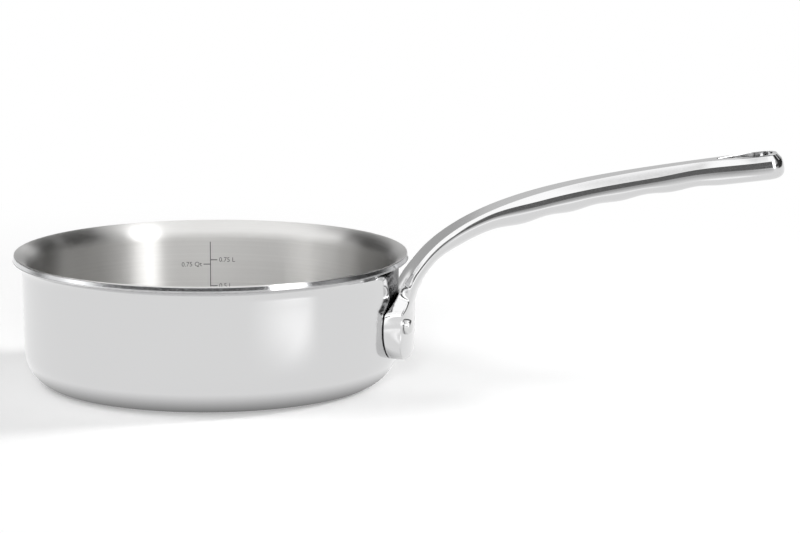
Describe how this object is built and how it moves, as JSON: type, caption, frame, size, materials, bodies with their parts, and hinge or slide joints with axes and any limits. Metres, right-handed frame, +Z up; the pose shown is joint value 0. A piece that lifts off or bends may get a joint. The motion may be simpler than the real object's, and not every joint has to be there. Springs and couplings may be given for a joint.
{
  "type": "saute pan",
  "caption": "Small straight-sided saute pan of bonded steel and aluminium plies, with a flared pouring rim and a long riveted cast handle that ends in a hanging eye.",
  "frame": {"origin": "on the pan's axis, at the flat face that the pan rests on", "axes": "+Z up along the pan's axis, +X from the axis towards the handle's tip, +Y completes a right-handed set; the solids are the same on both sides of the XZ plane"},
  "size_m": [0.3385, 0.174, 0.102],
  "materials": {
    "outer_steel_skin": "mirror polished stainless steel",
    "aluminium_core": "plain, seen only as a line in the rim's edge",
    "inner_steel_skin": "stainless steel brushed round the axis",
    "handle": "polished cast stainless steel",
    "rivet": "polished stainless steel"
  },
  "bodies": {
    "root": {"outer_steel_skin": "outer_steel_skin", "aluminium_core": "aluminium_core", "inner_steel_skin": "inner_steel_skin", "handle": "handle", "rivet_right": "rivet", "rivet_left": "rivet"}
  },
  "joints": []
}
